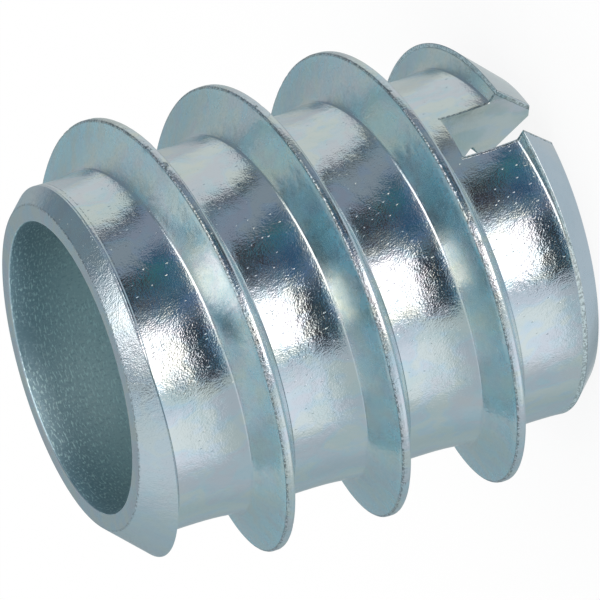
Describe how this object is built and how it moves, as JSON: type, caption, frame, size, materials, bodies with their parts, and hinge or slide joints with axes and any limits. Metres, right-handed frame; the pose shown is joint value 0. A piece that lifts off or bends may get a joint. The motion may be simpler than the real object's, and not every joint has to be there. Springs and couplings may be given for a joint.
{
  "type": "threaded insert",
  "caption": "Slotted steel insert for wood: coarse sharp outer thread, machine thread inside, plain relief bore at the tip, chamfered at both ends",
  "frame": {"origin": "centre of the slotted end face, which it stands on", "axes": "+Z along the bore's axis, from the slotted end to the tip; +X along the screwdriver slot"},
  "size_m": [0.0185, 0.0184, 0.02],
  "materials": {
    "zinc_plated_steel": "bright blue-white zinc plate"
  },
  "bodies": {
    "root": {"insert_body": "zinc_plated_steel"}
  },
  "joints": []
}
